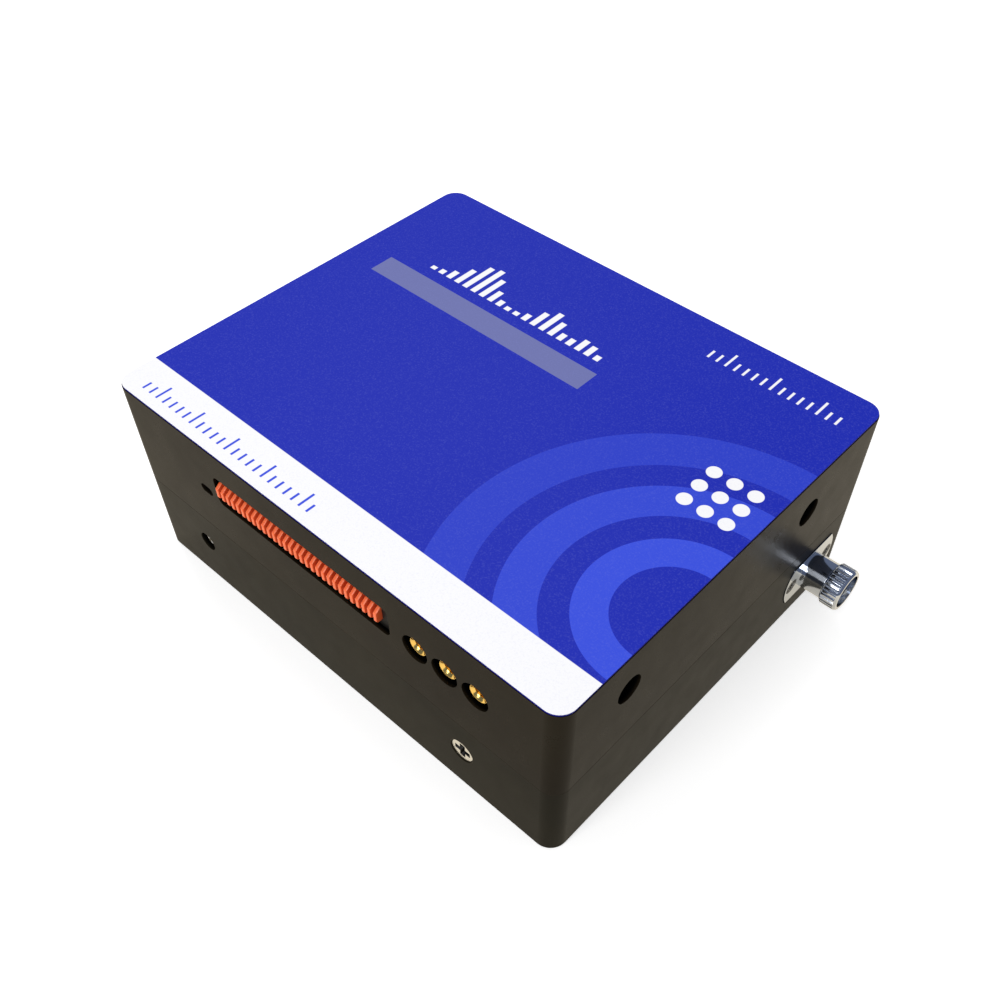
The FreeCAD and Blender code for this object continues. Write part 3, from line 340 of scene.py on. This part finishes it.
class FilmPrint(Finish):
    def __init__(self, art):
        super().__init__("labelFilm", Specular_IOR_Level=art["specular"])
        self.art = art
        self.x, self.y = self.axes()[:2]

    def inside(self, depth):
        # 1 where the depth in millimetres is positive, with a thin soft edge
        return self.clamp(depth * self.art["edgeSharpness"] + 0.5)

    def between(self, value, low, high):
        return self.inside(value - low) * self.inside(high - value)

    def ruler(self, span, foot, heights):
        # A row of ticks, every fifth one taller
        pitch = self.art["tickPitch"]
        along = self.x - span[0]
        fine = self.inside(self.art["tickWidth"] / 2 - self.size(self.offCell(along, pitch)))
        tall = self.inside(pitch / 2 - self.size(self.offCell(along, pitch * 5)))
        top = foot + heights[0] + tall * heights[1]
        return fine * self.between(self.y, foot, top) * self.between(self.x, *span)

    def rings(self, colour):
        fromCentre = self.distance(
            self.x - self.art["arcCentre"][0], self.y - self.art["arcCentre"][1],
        )
        for radius, width, strength in self.art["arcs"]:
            arc = self.inside(width / 2 - self.size(fromCentre - radius))
            colour = self.blend(arc * strength, colour, shade(*self.art["paleBlue"]))
        return colour

    def dots(self):
        pitch = self.art["dotPitch"]
        reach = self.art["dotReach"]
        across = self.x - self.art["dotCentre"][0]
        along = self.y - self.art["dotCentre"][1]
        fromDot = self.distance(
            self.offCell(across + pitch / 2, pitch), self.offCell(along + pitch / 2, pitch),
        )
        block = self.between(across, -reach, reach) * self.between(along, -reach, reach)
        return self.inside(self.art["dotRadius"] - fromDot) * block

    def graph(self):
        # Upright bars under a curve with three peaks
        offBar = self.offCell(self.x - self.art["graphX"][0], self.art["graphPitch"])
        middle = self.x - offBar
        height = self.art["graphLowest"]
        for peak, width, rise in self.art["graphPeaks"]:
            offset = (middle - peak) / width
            height = height + rise * self.maths("EXPONENT", offset * offset * -1)
        bars = self.inside(self.art["graphBarWidth"] / 2 - self.size(offBar))
        base = self.art["graphBase"]
        return bars * self.between(self.x, *self.art["graphX"]) * self.between(
            self.y, base, height + base,
        )

    def printAll(self):
        art = self.art
        colour = self.rings(shade(*art["blue"]))
        plate = self.between(self.x, *art["barX"]) * self.between(self.y, *art["barY"])
        colour = self.blend(plate, colour, shade(*art["barPaintedShade"]))
        ticks = self.ruler(art["tickX"], art["tickY"], art["tickHeights"])
        strip = self.inside(art["stripEdge"] - self.y)
        white = self.clamp(strip + self.dots() + self.graph() + ticks)
        colour = self.blend(white, colour, shade(*art["white"]))
        scale = self.ruler(art["scaleX"], art["scaleY"], art["scaleHeights"])
        colour = self.blend(scale, colour, shade(*art["paleBlue"]))
        speckle = self.grain(art["speckle"])
        speckled = (speckle - 0.5) * art["speckleStrength"]
        self.set(Base_Color=self.blend(speckled, colour, shade(*art["specklePaintedShade"])))
        self.set(Roughness=art["sheen"] + (speckle - 0.5) * art["sheenChange"])
        self.bump(speckle, *art["bump"])
        return self.material


# The comb: bright along the middle of each fin, with painted shade on its sides and in the gaps
# between them
combFacts = {
    "start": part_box("connector_comb")[0][0] / mm,
    "pitch": 1.442,
    "thickness": 0.78,
    "dark": (255, 100, 50),
    "light": (255, 124, 70),
    "sidePaintedShade": (208, 60, 20),
    "sideStart": -0.04,
    "gapPaintedShade": (120, 28, 8),
    "gapStart": 0.02,
    "edgeSharpness": 9,
    "specular": 0.4,
    "sheen": 0.34,
    "grain": 0.4,
}


def finned(facts):
    finish = Finish("orange", Specular_IOR_Level=facts["specular"])
    halfFin = facts["thickness"] / 2
    along = finish.axes()[0] - (facts["start"] + halfFin - facts["pitch"] / 2)
    past = finish.size(finish.offCell(along, facts["pitch"])) - halfFin
    fine = finish.grain(facts["grain"])
    colour = finish.blend(fine, shade(*facts["dark"]), shade(*facts["light"]))
    # Painted shade on each fin's sides, and darker painted shade in the gaps between fins
    for part in ("side", "gap"):
        amount = finish.clamp((past - facts[part + "Start"]) * facts["edgeSharpness"])
        colour = finish.blend(amount, colour, shade(*facts[part + "PaintedShade"]))
    finish.set(Base_Color=colour)
    finish.set(Roughness=facts["sheen"] + (fine - 0.5) * mouldedFacts["grainSheen"])
    finish.bump(fine, *mouldedFacts["bump"])
    return finish.material


finishes = {
    "upperBlack": anodised("upperBlack", (24, 19, 12), (31, 26, 17), 0.3, paintedShadeInOpenings=True),
    "lowerBlack": anodised("lowerBlack", (21, 19, 12), (28, 25, 16), 0.32, paintedShadeInOpenings=True),
    # Broken edges painted lighter than the faces: partly wear, partly a painted highlight where
    # the edges catch light
    "edgeWearAndHighlight": anodised("edgeWearAndHighlight", (42, 38, 31), (52, 47, 39), 0.28),
    "innerBlack": anodised("innerBlack", (22, 21, 20), (30, 29, 28), 0.45),
    "film": FilmPrint(labelArt).printAll(),
    "filmEdge": moulded("filmEdge", (18, 20, 122), (24, 27, 140), 0.5, 0.4, 0.1),
    "nickel": metal("nickel", (206, 212, 222), 0.1, 0.5, 0.04),
    "steel": metal("steel", (244, 242, 236), 0.24, 0.3, 0.08),
    "gold": metal("gold", (255, 214, 120), 0.16, 0.4, 0.06),
    "darkSteelAndCrossShade": metal("darkSteelAndCrossShade", (40, 39, 38), 0.4, 0.3, 0.15),
    "orange": finned(combFacts),
    # The black adjusting screw's face painted lighter than it is: painted light that makes up for
    # the shade of its recess
    "screwFacePaintedLight": moulded("screwFacePaintedLight", (92, 86, 72), (106, 100, 84), 0.4, 0.3, 0.1),
    # Near-white rim finish: a painted glint on screw edges
    "screwRimPaintedGlint": moulded("screwRimPaintedGlint", (250, 249, 244), (255, 255, 252), 0.25, 0.3),
    "blackPlastic": moulded("blackPlastic", (8, 8, 9), (13, 13, 14), 0.5, 0.4, 0.15),
    # Clear plastic painted near black: painted shade for the dark light slot it sits in
    "clearPaintedShade": moulded("clearPaintedShade", (7, 7, 8), (11, 11, 12), 0.2, 0.8, 0.3),
    "whitePlastic": moulded("whitePlastic", (226, 224, 214), (238, 236, 228), 0.4, 0.4),
    "board": moulded("board", (16, 70, 40), (22, 86, 50), 0.4, 0.6),
    "aluminium": metal("aluminium", (192, 194, 197), 0.35, 0.3, 0.15),
    "mirrorCoat": metal("mirrorCoat", (236, 236, 234), 0.05, 0.8, 0.01),
    "foam": moulded("foam", (20, 20, 20), (34, 34, 34), 0.9, 0.3, 0.2),
}
print("finishes made")


# Tools for making pieces. Lengths in millimetres, angles in degrees
toolFacts = {
    "mergeDistance": 0.001,
    "flatAngle": 0.5,
    "edgeAngle": 32,
    "edgeSteps": 2,
}


def deselectAll():
    if bpy.context.object and bpy.context.object.mode != "OBJECT":
        bpy.ops.object.mode_set(mode="OBJECT")
    bpy.ops.object.select_all(action="DESELECT")


def makeActive(piece):
    deselectAll()
    piece.select_set(True)
    bpy.context.view_layer.objects.active = piece


def giveMaterials(piece, *materials):
    piece.data.materials.clear()
    for name in materials:
        piece.data.materials.append(finishes[name])


def workingCopy(nodeName, pieceName, *materials):
    # A merged copy of a CAD node, its flat faces made whole again
    piece = bpy.data.objects.new(pieceName, frame["nodes"][nodeName].data.copy())
    bpy.context.collection.objects.link(piece)
    giveMaterials(piece, *materials)
    makeActive(piece)
    bpy.ops.mesh.customdata_custom_splitnormals_clear()
    bpy.ops.object.mode_set(mode="EDIT")
    bpy.ops.mesh.select_all(action="SELECT")
    bpy.ops.mesh.remove_doubles(threshold=toolFacts["mergeDistance"] * mm)
    bpy.ops.mesh.dissolve_limited(angle_limit=math.radians(toolFacts["flatAngle"]))
    bpy.ops.object.mode_set(mode="OBJECT")
    return piece


def applyModifier(piece, kind, **settings):
    modifier = piece.modifiers.new(kind.lower(), kind)
    for key, value in settings.items():
        setattr(modifier, key, value)
    makeActive(piece)
    bpy.ops.object.modifier_apply(modifier=modifier.name)


def breakEdges(piece, width, edgeMaterial=-1):
    angle = math.radians(toolFacts["edgeAngle"])
    applyModifier(
        piece, "BEVEL", width=width * mm, segments=toolFacts["edgeSteps"],
        limit_method="ANGLE", angle_limit=angle, material=edgeMaterial,
    )
    makeActive(piece)
    bpy.ops.object.shade_smooth_by_angle(angle=angle)
    applyModifier(piece, "WEIGHTED_NORMAL", keep_sharp=True)


def cutWith(piece, cutter):
    applyModifier(piece, "BOOLEAN", object=cutter, operation="DIFFERENCE", solver="EXACT")
    deselectAll()
    bpy.data.objects.remove(cutter, do_unlink=True)


def fitted(piece, body, slot, *nodes):
    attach(piece, body)
    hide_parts(*nodes)


# Every CAD node that stays takes the finish of its material slot
slotFinishes = {
    "black_anodised": "innerBlack", "label_film": "film", "polished_nickel": "nickel",
    "gold_plate": "gold", "orange_plastic": "orange", "black_plastic": "blackPlastic",
    "zinc_steel": "steel", "black_steel": "darkSteelAndCrossShade", "white_plastic": "whitePlastic",
    # Clear plastic takes a near-black finish, painted shade for its slot
    "clear_plastic": "clearPaintedShade", "bare_aluminium": "aluminium", "board_green": "board",
    "optic_mirror": "mirrorCoat", "optic_glass": "mirrorCoat", "ceramic": "blackPlastic",
    "foam_rubber": "foam",
}
slotOf = {part["node"]: part["material_slot"] for part in frame["record"]["subparts"]}
for name, node in frame["nodes"].items():
    giveMaterials(node, slotFinishes[slotOf[name]])
print("nodes finished")


# Housing, with the widths of its broken edges
housingFacts = {
    "upperEdge": 0.05,
    "lowerEdge": 0.07,
    "labelEdge": 0.05,
}
# The second finish, on the broken edges, is painted lighter: partly wear, partly a painted
# highlight
upper = workingCopy("upper_housing", "upperCover", "upperBlack", "edgeWearAndHighlight")
breakEdges(upper, housingFacts["upperEdge"], edgeMaterial=1)
fitted(upper, "root", "black_anodised", "upper_housing")
lower = workingCopy("lower_housing", "lowerTub", "lowerBlack", "edgeWearAndHighlight")
breakEdges(lower, housingFacts["lowerEdge"], edgeMaterial=1)
fitted(lower, "root", "black_anodised", "lower_housing")
label = workingCopy("top_label", "labelSheet", "film", "filmEdge")
breakEdges(label, housingFacts["labelEdge"])
for face in label.data.polygons:
    if face.normal.z < 0.5:  # the cut sides of the film
        face.material_index = 1
fitted(label, "root", "label_film", "top_label")
print("housing made")


# Bracket screw, with a tapering cross: sizes at the head's face, then at the cross's floor
bracketFacts = {
    "crossLength": (3.6, 3.1),
    "crossWidth": (1.3, 0.7),
    "crossDepth": 0.85,
    "crossLead": 0.2,
    "edge": 0.1,
}


def crossCutter(place, facts, turn):
    # One arm of the cross, from a little in front of the head down to the floor
    depth = facts["crossDepth"] + facts["crossLead"]
    bpy.ops.mesh.primitive_cube_add(size=1)
    arm = bpy.context.object
    # The cross's faces take the head's second, dark finish: painted shade down in the cross
    for face in arm.data.polygons:
        face.material_index = 1
    for vertex in arm.data.vertices:
        end = 1 if vertex.co.y > 0 else 0
        vertex.co.x *= facts["crossLength"][end]
        vertex.co.z *= facts["crossWidth"][end]
        vertex.co.y = (vertex.co.y + 0.5) * depth - facts["crossLead"]
    turned = Matrix.Translation(place) @ Matrix.Rotation(turn, 4, "Y")
    arm.data.transform(turned @ Matrix.Scale(mm, 4))
    return arm


# The second finish is painted shade in the cross recess of the bright head
bracketHead = workingCopy("bracket_screw", "bracketScrewHead", "steel", "darkSteelAndCrossShade")
bracketLow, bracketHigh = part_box("bracket_screw")
headPlace = Vector((
    (bracketLow[0] + bracketHigh[0]) / 2, bracketLow[1], (bracketLow[2] + bracketHigh[2]) / 2,
))
for quarter in (0, math.pi / 2):
    cutWith(bracketHead, crossCutter(headPlace, bracketFacts, quarter))
breakEdges(bracketHead, bracketFacts["edge"])
fitted(bracketHead, "root", "zinc_steel", "bracket_screw")
print("bracket screw made")


# Fibre port
portFacts = {"bodyEdge": 0.06, "ringEdge": 0.04}
port = workingCopy("fibre_port_body", "portBody", "nickel")
breakEdges(port, portFacts["bodyEdge"])
fitted(port, "root", "polished_nickel", "fibre_port_body")
ring = workingCopy("coupling_ring", "turningRing", "nickel")
breakEdges(ring, portFacts["ringEdge"])
fitted(ring, "ring", "polished_nickel", "coupling_ring")
print("fibre port made")


# Small fittings: piece, finish, finish of its edges, slot, and the edges' width
fittings = {
    # Port screws: the near-white edge finish is a painted glint
    "port_screws": ("portScrewPair", "darkSteelAndCrossShade", "screwRimPaintedGlint", "zinc_steel", 0.07),
    # Adjusting screw: its face is painted lighter as painted light, and its rim is painted near
    # white as a painted glint
    "mirror_adjust_screw": ("adjustScrewHead", "screwFacePaintedLight", "screwRimPaintedGlint", "black_steel", 0.2),
    "cover_screws": ("coverCapScrews", "darkSteelAndCrossShade", "darkSteelAndCrossShade", "black_steel", 0.08),
    "connector_comb": ("orangeComb", "orange", "orange", "orange_plastic", 0.2),
    "connector_shroud": ("combShroud", "blackPlastic", "blackPlastic", "black_plastic", 0.1),
    "trigger_jacks": ("goldJacks", "gold", "gold", "gold_plate", 0.06),
    "jack_contacts": ("goldPins", "gold", "gold", "gold_plate", 0.04),
}
for nodeName, (pieceName, finishName, edgeName, slot, width) in fittings.items():
    fitting = workingCopy(nodeName, pieceName, finishName, edgeName)
    breakEdges(fitting, width, edgeMaterial=1)
    fitted(fitting, "root", slot, nodeName)
print("small fittings made")


# Floor and light, in metres and watts. Glossy rays see a warmer floor and a darker, bluer room
stageFacts = {
    "floorSize": 6,
    "floorPaintedShade": (248, 248, 248),
    "floorReflected": (216, 204, 182),
    "floorRoughness": 0.9,
    "floorGlow": 0.45,
    "glossyGlow": (0.42, 0.39, 0.33, 1.0),
    "room": 0.45,
    "backdrop": 1.0,
    "reflected": (0.16, 0.19, 0.27, 1.0),
    "lamps": (
        ("keyLamp", (-0.5, 0.35, 0.9), 0.6, 4.0),
        ("fillLamp", (0.1, -0.9, 0.75), 0.6, 6.4),
    ),
}


def grey(level):
    return (level, level, level, 1.0)


def floorMaterial(facts):
    # White to the eye, and still able to take the shadow
    finish = Finish(
        "floor", Roughness=facts["floorRoughness"], Specular_IOR_Level=0.0, Emission_Strength=1.0,
    )
    glossy = finish.ray("Glossy")
    colours = shade(*facts["floorPaintedShade"]), shade(*facts["floorReflected"])
    finish.set(Base_Color=finish.blend(glossy, *colours))
    glow = finish.blend(glossy, grey(0), facts["glossyGlow"])
    finish.set(Emission_Color=finish.blend(finish.ray("Camera"), glow, grey(facts["floorGlow"])))
    return finish.material


bpy.ops.mesh.primitive_plane_add(size=stageFacts["floorSize"])
floor = bpy.context.object
floor.name = "floor"
floor.data.materials.append(floorMaterial(stageFacts))

world = bpy.data.worlds.new("studio")
bpy.context.scene.world = world
studio = Shading(world)
room = studio.blend(studio.ray("Glossy"), grey(stageFacts["room"]), stageFacts["reflected"])
seenRoom = studio.blend(studio.ray("Camera"), room, grey(stageFacts["backdrop"]))
studio.feed(studio.nodes["Background"].inputs["Color"], seenRoom)

for name, place, size, power in stageFacts["lamps"]:
    bpy.ops.object.light_add(type="AREA", location=place)
    lamp = bpy.context.object
    lamp.name = name
    lamp.data.size = size
    lamp.data.energy = power
    lamp.rotation_mode = "QUATERNION"
    lamp.rotation_quaternion = (-Vector(place)).to_track_quat("-Z", "Y")
bpy.context.scene.view_settings.view_transform = "Standard"
print("stage lit")
